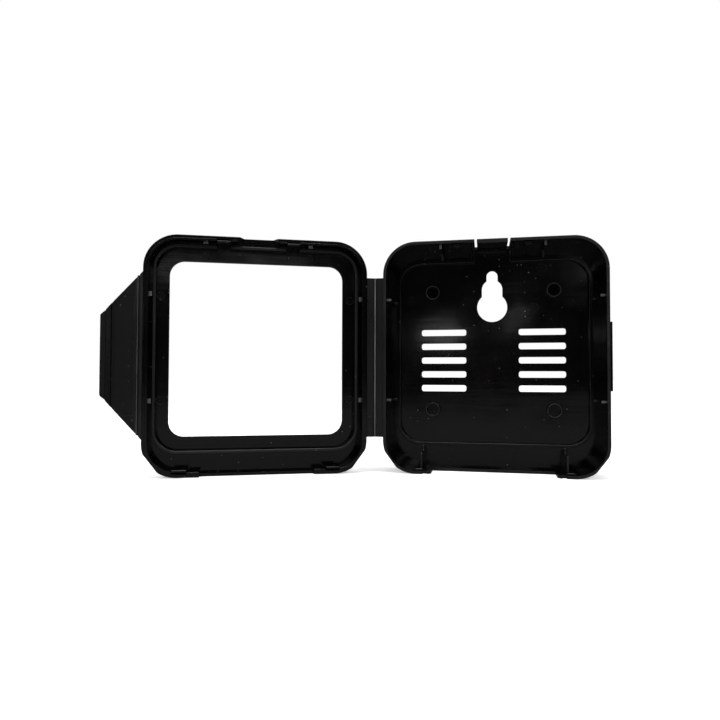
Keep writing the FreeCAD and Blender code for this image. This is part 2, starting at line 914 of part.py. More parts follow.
def make_locating_tongue():
    """A raised edge inside the cover's wall that nests in the tray's rim."""
    body = new_body("LocatingTongue")
    lower = new_sketch(body, "parting_gap")
    ring_at(lower, "wall")
    pad(body, lower, "face_depth - parting_gap")
    upper = new_sketch(body, "-tongue_rise")
    ring_at(upper, "( wall + tongue_fit )")
    pad(body, upper, "tongue_rise + parting_gap")
    well = new_sketch(body, "-tongue_rise")
    ring_at(well, "( wall + tongue_fit + tongue_thickness )")
    cut(body, well, "tongue_rise + face_depth")
    gaps = new_sketch(body, "-tongue_rise")
    reach = "( wall + tongue_fit + tongue_thickness + 2 )"
    high, low = f"half_height - {reach}", f"-half_height + {reach}"
    middle = "-cover_middle"
    draw_block(
        gaps,
        f"{middle} - tongue_notch_half",
        f"{middle} + tongue_notch_half",
        high,
        "half_height + 1",
    )
    draw_block(
        gaps,
        f"{middle} - foot_cut_half",
        f"{middle} + foot_cut_half",
        "-half_height - 1",
        low,
    )
    for side in (-1, 1):
        x = f"( {middle} + {side} * catch_offset )"
        draw_block(
            gaps,
            f"{x} - catch_width / 2",
            f"{x} + catch_width / 2",
            high,
            "half_height + 1",
        )
        x = f"( {middle} + {side} * foot_catch_offset )"
        draw_block(
            gaps,
            f"{x} - foot_catch_width / 2",
            f"{x} + foot_catch_width / 2",
            "-half_height - 1",
            low,
        )
    cut(body, gaps, "tongue_rise + face_depth")
    seat(body, "locating_tongue", True)


def make_cover_ring_rib():
    body = new_body("CoverRing")
    crest = "( face_depth - cover_ring_rise )"
    left, right = "-cover_middle - cover_ring_half", "-cover_middle + cover_ring_half"
    outer = new_sketch(body, crest)
    draw_rounded(outer, left, right, "cover_ring_foot", "cover_ring_top", "ring_corner")
    pad(body, outer, "cover_ring_rise")
    well = new_sketch(body, crest)
    draw_rounded(
        well,
        f"{left} + ring_thickness",
        f"{right} - ring_thickness",
        "cover_ring_foot + ring_thickness",
        "cover_ring_top - ring_thickness",
        "ring_corner - ring_thickness",
    )
    cut(body, well, "cover_ring_rise")
    gaps = new_sketch(body, crest)
    for side in (-1, 1):
        x = f"( -cover_middle + {side} * catch_offset )"
        draw_block(
            gaps,
            f"{x} - catch_width / 2",
            f"{x} + catch_width / 2",
            "cover_ring_top - ring_thickness - 1",
            "cover_ring_top + 1",
        )
    cut(body, gaps, "cover_ring_rise")
    seat(body, "cover_ring_rib", True)


def make_cover_gussets():
    """Six blocks tie the cover's ring rib to its rim, in line with the tray's."""
    thick = "cover_gusset_width / 2"
    edge = "( outer_width / 2 - wall - tongue_fit - tongue_thickness )"
    shapes = []
    for side in (-1, 1):
        for level in (-1, 1):
            z = f"( device_lift + {level} * gusset_pitch / 2 )"
            near = f"-cover_middle + {side} * cover_ring_half"
            far = f"-cover_middle + {side} * {edge}"
            low, high = (far, near) if side < 0 else (near, far)
            shapes.append(
                box(low, high, "cover_gusset_drop", "face_depth", f"{z} - {thick}", f"{z} + {thick}")
            )
        x = f"( -cover_middle + {side} * gusset_pitch / 2 )"
        shapes.append(
            box(
                f"{x} - {thick}",
                f"{x} + {thick}",
                "cover_gusset_drop",
                "face_depth",
                "cover_ring_top",
                "outer_height / 2 - wall - tongue_fit - tongue_thickness",
            )
        )
    seat(gather("CoverGussets", shapes), "cover_gussets", True)


def make_cover_catches():
    """Arms that reach past the rim and lie against the tray's lugs."""
    upper = []
    lower = []
    for side in (-1, 1):
        top = "( inner_half_height - lug_rise - catch_fit )"
        x = f"( -cover_middle + {side} * catch_offset )"
        arm = box(
            f"{x} - catch_width / 2 + catch_side_gap",
            f"{x} + catch_width / 2 - catch_side_gap",
            "-catch_rise",
            "face_depth + pad_depth",
            f"{top} - catch_thickness",
            top,
        )
        upper.append(arm)
        low = "( -inner_half_height + foot_lug_rise + catch_fit )"
        x = f"( -cover_middle + {side} * foot_catch_offset )"
        lower.append(
            box(
                f"{x} - foot_catch_width / 2 + catch_side_gap",
                f"{x} + foot_catch_width / 2 - catch_side_gap",
                "-catch_rise",
                "face_depth",
                low,
                f"{low} + catch_thickness",
            )
        )
    seat(gather("CoverTopCatches", upper), "cover_top_catches", True)
    seat(gather("CoverFootCatches", lower), "cover_foot_catches", True)


def flap_profile(reach):
    """Half height of the flap's slanted edge at a distance from the cover's wall."""
    return f"( flap_base_half - ( {reach} ) * flap_slope )"


def make_flap():
    """The closure flap: root strip, web, panel, hook rib and pull lip."""
    skin, back = "flap_skin_depth", "( flap_skin_depth + flap_thickness )"
    start = "( flap_hinge_offset - flap_edge_gap )"
    root_end = f"-cover_edge - {start}"
    strip = wedge(
        [
            ("-cover_edge", "-flap_base_half"),
            ("-cover_edge", "flap_base_half"),
            (root_end, flap_profile(start)),
            (root_end, f"-{flap_profile(start)}"),
        ],
        skin,
        back,
        "RootStrip",
    )
    seat(bevelled("FlapRootStrip", strip, root_end), "flap_root_strip", True)

    inner = "( flap_hinge_offset + flap_edge_gap )"
    body = new_body("FlapPanel")
    sketch = new_sketch(body, skin)
    draw_polygon(
        sketch,
        [
            (f"-cover_edge - {inner}", f"-{flap_profile(inner)}"),
            (f"-cover_edge - {inner}", flap_profile(inner)),
            ("-cover_edge - flap_waist_reach", "flap_waist_half"),
            ("-cover_edge - flap_hook_reach", "flap_hook_half"),
            ("-cover_edge - flap_hook_reach", "-flap_hook_half"),
            ("-cover_edge - flap_waist_reach", "-flap_waist_half"),
        ],
    )
    pad(body, sketch, "flap_thickness")
    tray = new_sketch(body, skin)
    start = "flap_recess_start"
    knee = "( flap_base_half - flap_recess_half - flap_recess_inset ) / flap_slope"
    end = "( flap_hook_reach - flap_recess_margin )"
    end_half = f"{flap_profile(end)} - flap_recess_inset"
    draw_polygon(
        tray,
        [
            (f"-cover_edge - {start}", "-flap_recess_half"),
            (f"-cover_edge - {start}", "flap_recess_half"),
            (f"-cover_edge - {knee}", "flap_recess_half"),
            (f"-cover_edge - {end}", end_half),
            (f"-cover_edge - {end}", f"-( {end_half} )"),
            (f"-cover_edge - {knee}", "-flap_recess_half"),
        ],
    )
    cut(body, tray, "flap_recess_depth")
    seat(bevelled("FlapPanelBevelled", body, f"-cover_edge - {inner}"), "flap_panel", True)

    hook = wedge(
        [
            ("-cover_edge - flap_hook_reach", "-flap_hook_half"),
            ("-cover_edge - flap_hook_reach", "flap_hook_half"),
            ("-cover_edge - flap_hook_reach - flap_hook_width", "flap_lip_half"),
            ("-cover_edge - flap_hook_reach - flap_hook_width", "-flap_lip_half"),
        ],
        "flap_skin_depth - flap_hook_rise",
        back,
        "FlapHookRib",
    )
    seat(hook, "flap_hook_rib", True)

    lip = wedge(
        [
            ("-cover_edge - flap_lip_start", "-flap_lip_half"),
            ("-cover_edge - flap_lip_start", "flap_lip_half"),
            ("-cover_edge - flap_lip_reach", "flap_lip_end_half"),
            ("-cover_edge - flap_lip_reach", "-flap_lip_end_half"),
        ],
        skin,
        back,
        "FlapPullLip",
    )
    fillet(lip, lip.Tip, stands_at("-cover_edge - flap_lip_reach"), "flap_lip_corner")
    seat(lip, "flap_pull_lip", True)

    web = tube(
        "-flap_hinge",
        "flap_hinge_depth",
        f"-{flap_profile('flap_hinge_offset')}",
        flap_profile("flap_hinge_offset"),
        "flap_bead",
        True,
    )
    seat(gather("FlapHingeWeb", [web]), "flap_hinge_web", True)


def bevelled(name, piece, edge):
    """Cuts a 45 degree bevel on the inner face where the flap folds."""
    groove = doc.addObject("Part::Box", name + "Groove")
    size = "( flap_bevel * sqrt( 2 ) )"
    bind(groove, "Length", size)
    bind(groove, "Width", size)
    bind(groove, "Height", "outer_height")
    groove.Placement = FreeCAD.Placement(
        FreeCAD.Vector(0, 0, 0), FreeCAD.Rotation(FreeCAD.Vector(0, 0, 1), 45)
    )
    bind(groove, "Placement.Base.x", edge)
    bind(groove, "Placement.Base.y", "flap_skin_depth - flap_bevel")
    bind(groove, "Placement.Base.z", "-half_height")
    return difference(name, piece, groove)


make_back_panel()
make_tray_wall()
make_support_ring()
make_gussets()
make_standoff_bosses()
make_tray_snap_lugs()
make_tray_foot_lugs()
make_cable_bay_ribs()
make_cable_prongs()
make_latch_tab()
make_strike_ledge()
make_hinge_flanges()
make_cover_wall()
make_cover_face()
make_locating_tongue()
make_cover_ring_rib()
make_cover_gussets()
make_cover_catches()
make_flap()
doc.recompute()

for feature in doc.Objects:
    if "Invalid" in feature.State or "Error" in feature.State:
        raise RuntimeError(f"{feature.Label}: {feature.State}")
for piece in pieces:
    if piece.Shape.isNull() or not piece.Shape.isValid():
        raise RuntimeError(f"{piece.Label}: the shape is not valid")
    piece.Shape.exportStep(f"parts/{piece.Label}.step")
    solids = len(piece.Shape.Solids)
    print(f"{piece.Label}: {solids} solid(s), {piece.Shape.Volume / 1000:.2f} cm3")
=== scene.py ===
import json
import math

import bpy
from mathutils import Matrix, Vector


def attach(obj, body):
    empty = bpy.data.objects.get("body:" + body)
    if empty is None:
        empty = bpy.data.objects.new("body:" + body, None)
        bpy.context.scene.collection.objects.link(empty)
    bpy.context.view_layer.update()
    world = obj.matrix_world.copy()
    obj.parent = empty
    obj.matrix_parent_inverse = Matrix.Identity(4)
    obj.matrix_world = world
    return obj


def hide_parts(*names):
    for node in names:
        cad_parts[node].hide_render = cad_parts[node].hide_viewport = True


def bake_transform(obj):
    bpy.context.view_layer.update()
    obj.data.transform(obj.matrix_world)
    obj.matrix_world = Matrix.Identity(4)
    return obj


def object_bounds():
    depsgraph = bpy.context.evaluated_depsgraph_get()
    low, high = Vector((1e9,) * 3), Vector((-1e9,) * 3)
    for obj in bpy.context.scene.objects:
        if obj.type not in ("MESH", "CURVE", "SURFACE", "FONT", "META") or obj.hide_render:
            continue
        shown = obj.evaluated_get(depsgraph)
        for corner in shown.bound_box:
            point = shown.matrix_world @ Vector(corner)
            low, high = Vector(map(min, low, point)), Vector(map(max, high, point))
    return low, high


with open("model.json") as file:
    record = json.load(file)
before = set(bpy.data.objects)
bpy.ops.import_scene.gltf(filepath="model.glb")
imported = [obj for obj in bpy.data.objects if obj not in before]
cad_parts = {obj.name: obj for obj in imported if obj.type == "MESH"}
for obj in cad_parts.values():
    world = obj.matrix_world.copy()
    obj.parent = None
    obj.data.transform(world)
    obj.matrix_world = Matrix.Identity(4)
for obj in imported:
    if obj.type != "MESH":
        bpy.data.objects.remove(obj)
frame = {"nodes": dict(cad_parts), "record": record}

cadLow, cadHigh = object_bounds()
mm = 0.001
print("frame loaded:", len(frame["nodes"]), "nodes")


# Selection and mode helpers

def clearSelection():
    if bpy.context.mode != "OBJECT":
        bpy.ops.object.mode_set(mode="OBJECT")
    bpy.ops.object.select_all(action="DESELECT")


def makeActive(piece):
    clearSelection()
    piece.select_set(True)
    bpy.context.view_layer.objects.active = piece


def applyModifier(piece, kind, **settings):
    makeActive(piece)
    modifier = piece.modifiers.new(kind.title(), kind)
    for name, value in settings.items():
        setattr(modifier, name, value)
    bpy.ops.object.modifier_apply(modifier=modifier.name)


def smoothByAngle(piece, degrees=32):
    makeActive(piece)
    bpy.ops.object.shade_smooth_by_angle(angle=math.radians(degrees))


# Black moulded plastic

def addNode(tree, kind, place, **settings):
    node = tree.nodes.new(kind)
    node.location = place
    for name, value in settings.items():
        setattr(node, name, value)
    return node


def link(tree, source, output, target, entry):
    tree.links.new(source.outputs[output], target.inputs[entry])


def blackPlastic(name, look):
    material = bpy.data.materials.new(name)
    material.use_nodes = True
    tree = material.node_tree
    shader = tree.nodes["Principled BSDF"]
    shader.inputs["IOR"].default_value = look["ior"]
    shader.inputs["Specular IOR Level"].default_value = look["specular"]
    place = addNode(tree, "ShaderNodeTexCoord", (-1500, 0))

    # slow drift of tone and gloss, as melt cools unevenly in the mould
    drift = addNode(tree, "ShaderNodeTexNoise", (-1200, 300))
    drift.inputs["Scale"].default_value = look["driftScale"]
    drift.inputs["Detail"].default_value = 3
    link(tree, place, "Object", drift, "Vector")
    tone = addNode(tree, "ShaderNodeValToRGB", (-900, 420))
    tone.color_ramp.elements[0].position = 0.35
    tone.color_ramp.elements[1].position = 0.68
    tone.color_ramp.elements[0].color = (*look["dark"], 1)
    tone.color_ramp.elements[1].color = (*look["light"], 1)
    link(tree, drift, "Fac", tone, "Fac")

    # dust: a few cells of a fine cell pattern hold one small pale speck each
    cells = addNode(tree, "ShaderNodeTexVoronoi", (-1200, -60))
    cells.inputs["Scale"].default_value = look["dustScale"]
    link(tree, place, "Object", cells, "Vector")
    chosen = addNode(tree, "ShaderNodeSeparateColor", (-980, -160))
    link(tree, cells, "Color", chosen, "Color")
    size = addNode(tree, "ShaderNodeMapRange", (-780, -200))
    size.inputs["From Min"].default_value = 1 - look["dustShare"]
    size.inputs["To Max"].default_value = look["dustSize"]
    link(tree, chosen, "Red", size, "Value")
    speck = addNode(tree, "ShaderNodeMath", (-580, -120), operation="LESS_THAN")
    link(tree, cells, "Distance", speck, 0)
    link(tree, size, "Result", speck, 1)
    dusty = addNode(tree, "ShaderNodeMix", (-350, 260), data_type="RGBA")
    dusty.inputs[7].default_value = (*look["dust"], 1)
    tree.links.new(speck.outputs[0], dusty.inputs[0])
    tree.links.new(tone.outputs["Color"], dusty.inputs[6])
    tree.links.new(dusty.outputs[2], shader.inputs["Base Color"])

    # gloss: smudges and fine rubbing marks
    smudge = addNode(tree, "ShaderNodeTexNoise", (-1200, -420))
    smudge.inputs["Scale"].default_value = look["smudgeScale"]
    smudge.inputs["Detail"].default_value = 5
    smudge.inputs["Roughness"].default_value = 0.62
    link(tree, place, "Object", smudge, "Vector")
    gloss = addNode(tree, "ShaderNodeMapRange", (-900, -420))
    gloss.inputs["From Min"].default_value = 0.3
    gloss.inputs["From Max"].default_value = 0.7
    gloss.inputs["To Min"].default_value = look["roughness"][0]
    gloss.inputs["To Max"].default_value = look["roughness"][1]
    link(tree, smudge, "Fac", gloss, "Value")
    rough = addNode(tree, "ShaderNodeMath", (-350, -300), operation="MAXIMUM")
    link(tree, gloss, "Result", rough, 0)
    link(tree, speck, "Value", rough, 1)
    link(tree, rough, "Value", shader, "Roughness")

    # mould surface: a slow warp, long flow streaks and a fine grain
    warp = addNode(tree, "ShaderNodeTexNoise", (-1200, -760))
    warp.inputs["Scale"].default_value = look["warpScale"]
    warp.inputs["Detail"].default_value = 1
    link(tree, place, "Object", warp, "Vector")
    warpBump = addNode(tree, "ShaderNodeBump", (-700, -760))
    warpBump.inputs["Strength"].default_value = 1
    warpBump.inputs["Distance"].default_value = look["warpHeight"]
    link(tree, warp, "Fac", warpBump, "Height")
    spread = addNode(tree, "ShaderNodeMapping", (-1400, -1340))
    spread.inputs["Scale"].default_value = look["flowScale"]
    link(tree, place, "Object", spread, "Vector")
    flow = addNode(tree, "ShaderNodeTexNoise", (-1200, -1340))
    flow.inputs["Scale"].default_value = 1
    flow.inputs["Detail"].default_value = 2
    link(tree, spread, "Vector", flow, "Vector")
    flowBump = addNode(tree, "ShaderNodeBump", (-580, -840))
    flowBump.inputs["Strength"].default_value = 1
    flowBump.inputs["Distance"].default_value = look["flowHeight"]
    link(tree, flow, "Fac", flowBump, "Height")
    link(tree, warpBump, "Normal", flowBump, "Normal")
    grain = addNode(tree, "ShaderNodeTexNoise", (-1200, -1060))
    grain.inputs["Scale"].default_value = look["grainScale"]
    grain.inputs["Detail"].default_value = 2
    link(tree, place, "Object", grain, "Vector")
    grainBump = addNode(tree, "ShaderNodeBump", (-450, -900))
    grainBump.inputs["Strength"].default_value = 1
    grainBump.inputs["Distance"].default_value = look["grainHeight"]
    link(tree, grain, "Fac", grainBump, "Height")
    link(tree, flowBump, "Normal", grainBump, "Normal")
    link(tree, grainBump, "Normal", shader, "Normal")
    return material


glossyLook = {
    "dark": (0.0008, 0.0008, 0.0015),
    "light": (0.002, 0.0014, 0.0014),
    "dust": (0.13, 0.13, 0.125),
    "ior": 1.5,
    "specular": 0.5,
    "roughness": (0.09, 0.16),
    "driftScale": 26,
    "dustScale": 520,
    "dustShare": 0.26,
    "dustSize": 0.14,
    "smudgeScale": 55,
    "warpScale": 45,
    "warpHeight": 0.00025,
    "flowScale": (22, 22, 330),
    "flowHeight": 0.000025,
    "grainScale": 1800,
    "grainHeight": 0.0000015,
}
satinLook = dict(glossyLook)
satinLook.update({
    "dark": (0.0018, 0.0018, 0.0018),
    "light": (0.0028, 0.0027, 0.0026),
    "roughness": (0.27, 0.34),
    "warpHeight": 0.00015,
    "grainHeight": 0.000004,
})
hookLook = dict(satinLook)
hookLook.update({
    "dark": (0.0005, 0.0005, 0.0006),
    "light": (0.0009, 0.0009, 0.0009),
    "roughness": (0.22, 0.3),
})
flangeLook = dict(satinLook)
flangeLook.update({
    "dark": (0.0045, 0.0045, 0.0046),
    "light": (0.0062, 0.006, 0.0058),
})
# pale tone on the flap hinge's crease: partly stress whitening, partly a painted highlight
paleCreaseLook = dict(satinLook)
paleCreaseLook.update({
    "dark": (0.045, 0.045, 0.046),
    "light": (0.09, 0.09, 0.092),
    "driftScale": 70,
})
# pale tone on the cover hinge's crease: partly stress whitening, partly a painted highlight
creaseLook = dict(satinLook)
creaseLook.update({
    "dark": (0.1, 0.1, 0.103),
    "light": (0.19, 0.19, 0.195),
    "driftScale": 70,
})
# paler, rougher copy of the satin plastic: painted highlight on crests and on the steps of marks, and
# wear on the flap's fold edges
highlightAndWearLook = dict(satinLook)
highlightAndWearLook.update({
    "dark": (0.004, 0.004, 0.004),
    "light": (0.01, 0.01, 0.0097),
    "roughness": (0.35, 0.45),
})
# very pale copy: painted highlight on the gusset tops
gussetTopHighlightLook = dict(highlightAndWearLook)
gussetTopHighlightLook.update({
    "dark": (0.04, 0.04, 0.041),
    "light": (0.09, 0.09, 0.09),
})
markLook = dict(satinLook)
markLook.update({
    "dark": (0.0014, 0.0014, 0.0016),
    "light": (0.002, 0.002, 0.002),
    "roughness": (0.13, 0.2),
})
# low-gloss copy for the dark dishes in the boss bores: painted shade
pitShadeLook = dict(glossyLook)
pitShadeLook.update({"specular": 0.06, "dustShare": 0.02})
glossyPlastic = blackPlastic("glossyBlackPlastic", glossyLook)
satinPlastic = blackPlastic("satinBlackPlastic", satinLook)
hookPlastic = blackPlastic("hookBlackPlastic", hookLook)
flangePlastic = blackPlastic("flangeBlackPlastic", flangeLook)
creaseWhiteningAndHighlightPlastic = blackPlastic("stressWhitenedCreaseAndHighlight", creaseLook)
paleCreaseWhiteningAndHighlightPlastic = blackPlastic("paleCreaseWhiteningAndHighlightPlastic", paleCreaseLook)
highlightAndWearPlastic = blackPlastic("highlightAndWearEdgePlastic", highlightAndWearLook)
gussetTopHighlightPlastic = blackPlastic("paintedHighlightGussetTop", gussetTopHighlightLook)
markPlastic = blackPlastic("ejectorMarkPlastic", markLook)
pitShadePlastic = blackPlastic("paintedShadePitDisc", pitShadeLook)
for node in frame["nodes"].values():
    node.data.materials.clear()
    node.data.materials.append(glossyPlastic)
print("materials made")


# Moulded pieces: a merged copy of each CAD piece with its sharp edges broken

moulding = {
    "mergeGap": 0.004 * mm,
    "openTilt": math.radians(22.9),   # how far the cover turns past flat in the open part
    "sharpFrom": 30,
}
openSide = {
    "back": Vector((0, -1, 0)),
    "latch": Vector((0, -1, 0)),
    "cover": Vector((math.sin(moulding["openTilt"]), -math.cos(moulding["openTilt"]), 0)),
}
openSide["flap"] = openSide["cover"]
bodyOfNode = {}
for body, members in frame["record"]["behaviour"]["bodies"].items():
    for member in members:
        bodyOfNode[member] = body


def selectCrest(piece, facing):
    # edges round the flat tops that look out of the open half
    uses = {}
    for polygon in piece.data.polygons:
        polygon.select = False
        if polygon.normal.dot(facing) > 0.999:
            for key in polygon.edge_keys:
                uses[key] = uses.get(key, 0) + 1
    for vertex in piece.data.vertices:
        vertex.select = False
    for edge in piece.data.edges:
        edge.select = uses.get(edge.key, 0) == 1
        if edge.select:
            for index in edge.vertices:
                piece.data.vertices[index].select = True


def roundCrest(piece, facing, radius):
    selectCrest(piece, facing)
    bpy.ops.object.mode_set(mode="EDIT")
    bpy.ops.mesh.select_mode(type="EDGE")
    bpy.ops.mesh.bevel(offset=radius, segments=3, affect="EDGES", clamp_overlap=True)
    bpy.ops.mesh.select_mode(type="VERT")
    bpy.ops.object.mode_set(mode="OBJECT")


def paintCrestHighlight(piece, facing, paintedHighlight):
    # faces that look out of the open half between the two shares get a paler tone, a painted highlight,
    # with its own tone on the lower steps
    piece.data.materials.append(paintedHighlight["top"])
    piece.data.materials.append(paintedHighlight["step"])
    highest = max(vertex.co.dot(facing) for vertex in piece.data.vertices)
    for polygon in piece.data.polygons:
        if paintedHighlight["from"] < polygon.normal.dot(facing) < paintedHighlight["to"]:
            stepped = polygon.center.dot(facing) < highest - 2 * mm
            polygon.material_index = 2 if stepped else 1


def dressMarks(piece, facing, level):
    # floors and steps of the shallow marks just under a flat face; the steps get the paler tone, a
    # painted highlight round each mark
    piece.data.materials.append(markPlastic)
    piece.data.materials.append(highlightAndWearPlastic)
    for polygon in piece.data.polygons:
        sunk = level * mm - polygon.center.dot(facing)
        if 0.005 * mm < sunk < 0.16 * mm:
            flat = polygon.normal.dot(facing) > 0.995
            polygon.material_index = 1 if flat and polygon.area > 1e-6 else 2


def dressHingeEdge(piece, material):
    # the thick edges along the flap's fold are scuffed paler than its panel
    piece.data.materials.append(material)
    for polygon in piece.data.polygons:
        along = polygon.center.x - foldEdge["axis"][0] * mm
        across = polygon.center.y - foldEdge["axis"][1] * mm
        if math.hypot(along, across) < foldEdge["reach"] * mm:
            polygon.material_index = len(piece.data.materials) - 1


def mouldedCopy(nodeName, edges, material):
    edgeRadius, crestRadius = edges
    piece = bpy.data.objects.new(nodeName + "_moulded", frame["nodes"][nodeName].data.copy())
    bpy.context.collection.objects.link(piece)
    makeActive(piece)
    bpy.ops.object.mode_set(mode="EDIT")
    bpy.ops.mesh.select_all(action="SELECT")
    bpy.ops.mesh.remove_doubles(threshold=moulding["mergeGap"])
    bpy.ops.mesh.dissolve_limited(angle_limit=math.radians(0.4))
    bpy.ops.object.mode_set(mode="OBJECT")
    piece.data.materials.clear()
    piece.data.materials.append(material)
    if crestRadius:
        roundCrest(piece, openSide[bodyOfNode[nodeName]], crestRadius * mm)
    applyModifier(
        piece,
        "BEVEL",
        width=edgeRadius * mm,
        segments=2,
        limit_method="ANGLE",
        angle_limit=math.radians(moulding["sharpFrom"]),
        use_clamp_overlap=True,
        harden_normals=False,
    )
    smoothByAngle(piece)
    applyModifier(piece, "WEIGHTED_NORMAL", keep_sharp=True, weight=60)
    facing = openSide[bodyOfNode[nodeName]]
    if nodeName in crestHighlight:
        paintCrestHighlight(piece, facing, crestHighlight[nodeName])
    if nodeName in markedLevels:
        dressMarks(piece, facing, markedLevels[nodeName])
    if nodeName in foldEdge["pieces"]:
        dressHingeEdge(piece, highlightAndWearPlastic)
    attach(piece, bodyOfNode[nodeName])
    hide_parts(nodeName)
    return piece


# painted highlight tone of the crests, of their lower steps, and the shares of the open side their
# faces look to
rimHighlight = {"top": highlightAndWearPlastic, "step": highlightAndWearPlastic, "from": 0.85, "to": 1.01}
ringHighlight = {"top": highlightAndWearPlastic, "step": highlightAndWearPlastic, "from": 0.35, "to": 0.93}
# gusset tops take the brightest painted highlight, their lower steps a dimmer one
gussetHighlight = {"top": gussetTopHighlightPlastic, "step": highlightAndWearPlastic, "from": 0.6, "to": 1.01}
crestHighlight = {
    "tray_wall": rimHighlight,
    "support_ring": ringHighlight,
    "standoff_bosses": rimHighlight,
    "cover_ring_rib": rimHighlight,
    "tray_gussets": gussetHighlight,
    "cover_gussets": gussetHighlight,
    "cable_bay_ribs": rimHighlight,
    "latch_tab": rimHighlight,
}
foldEdge = {
    "axis": (-171.417, -67.699),
    "reach": 3,
    "pieces": ("flap_panel", "flap_root_strip"),
}
# height of the marked face along its open side, in millimetres
markedLevels = {"back_panel": 1.8, "cover_face": -11.339}


# edge radius and crest radius in millimetres; no crest where the CAD already rounds it
glossyEdges = {
    "back_panel": (0.1, 0),
    "tray_wall": (0.14, 0),
    "support_ring": (0.1, 0.35),
    "tray_gussets": (0.1, 0.25),
    "standoff_bosses": (0.1, 0.28),
    "tray_snap_lugs": (0.1, 0.35),
    "tray_foot_lugs": (0.1, 0.35),
    "cable_bay_ribs": (0.1, 0.45),
    "cable_prongs": (0.1, 0.3),
    "latch_root_rib": (0.1, 0.3),
    "strike_ledge": (0.15, 0.25),
    "latch_tab": (0.15, 0.3),
    "cover_wall": (0.14, 0),
    "cover_face": (0.16, 0),
    "locating_tongue": (0.1, 0.3),
    "cover_ring_rib": (0.1, 0.3),
    "cover_gussets": (0.1, 0.15),
    "cover_foot_catches": (0.12, 0.3),
}
for nodeName, edges in glossyEdges.items():
    mouldedCopy(nodeName, edges, glossyPlastic)

satinEdges = {
    "tray_hinge_flange": (0.12, 0.2, flangePlastic),
    "cover_hinge_flange": (0.12, 0.2, flangePlastic),
    "flap_root_strip": (0.12, 0, flangePlastic),
    "flap_panel": (0.15, 0, satinPlastic),
    "flap_hook_rib": (0.15, 0.3, hookPlastic),
    "cover_top_catches": (0.12, 0.3, hookPlastic),
    "flap_pull_lip": (0.2, 0.3, satinPlastic),
}
for nodeName, edges in satinEdges.items():
    mouldedCopy(nodeName, edges[:2], edges[2])

# size and place of the dark dishes of painted shade in the upper boss bores
bossPitShade = {
    "apart": 63.9,
    "height": 35.95,
    "radius": 3.02,
    "floor": -1.8,
    "thickness": 0.04,
    "dish": 0.015,
}


def bossPitShadeDiscs():
    # painted shade: each upper bore's floor carries a thin dark dish of low-gloss plastic, so the bores
    # read as deep
    clearSelection()
    bpy.ops.mesh.primitive_cylinder_add(
        vertices=48,
        radius=bossPitShade["radius"] * mm,
        depth=bossPitShade["thickness"] * mm,
        location=(-bossPitShade["apart"] / 2 * mm, bossPitShade["floor"] * mm, bossPitShade["height"] * mm),
        rotation=(math.radians(90), 0, 0),
    )
    shadeDisc = bpy.context.object
    shadeDisc.name = "boss_pit_shade_disc_hinge_side"
    bpy.ops.object.transform_apply(location=True, rotation=True, scale=True)
    for polygon in shadeDisc.data.polygons:
        polygon.select = polygon.normal.y < -0.9
    for edge in shadeDisc.data.edges:
        edge.select = False
    for vertex in shadeDisc.data.vertices:
        vertex.select = False
    for polygon in shadeDisc.data.polygons:
        if polygon.select:
            for index in polygon.vertices:
                shadeDisc.data.vertices[index].select = True
    bpy.ops.object.mode_set(mode="EDIT")
    bpy.ops.mesh.select_mode(type="FACE")
    bpy.ops.mesh.inset(thickness=0.3 * mm, depth=0)
    bpy.ops.transform.translate(value=(0, bossPitShade["dish"] * mm, 0))
    bpy.ops.mesh.select_mode(type="VERT")
    bpy.ops.object.mode_set(mode="OBJECT")
    shadeDisc.data.materials.append(pitShadePlastic)
    twin = shadeDisc.copy()
    twin.data = shadeDisc.data.copy()
    twin.name = "boss_pit_shade_disc_free_side"
    bpy.context.collection.objects.link(twin)
    makeActive(twin)
    bpy.ops.transform.translate(value=(bossPitShade["apart"] * mm, 0, 0))
    bpy.ops.object.transform_apply(location=True, rotation=False, scale=False)
    for piece in (shadeDisc, twin):
        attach(piece, "back")


bossPitShadeDiscs()
print("moulded pieces made")


# Living hinges: thin webs with a raised crease, pale from stress whitening and a painted highlight,
# which bend across their joints

def hingePath(hinge, tilts):
    # crease profile across the fold, each side turned with its half
    axis = Vector((hinge["axis"][0], hinge["axis"][1], 0)) * mm
    path = []
    for across, depth in hinge["profile"]:
        share = min(max(0.5 - across / (2 * hinge["bend"]), 0), 1)
        tilt = tilts[0] + (tilts[1] - tilts[0]) * share
        along = Vector((math.cos(tilt), math.sin(tilt), 0))
        inward = Vector((-math.sin(tilt), math.cos(tilt), 0))
        path.append(axis + along * across * mm + inward * depth * mm)
    return path


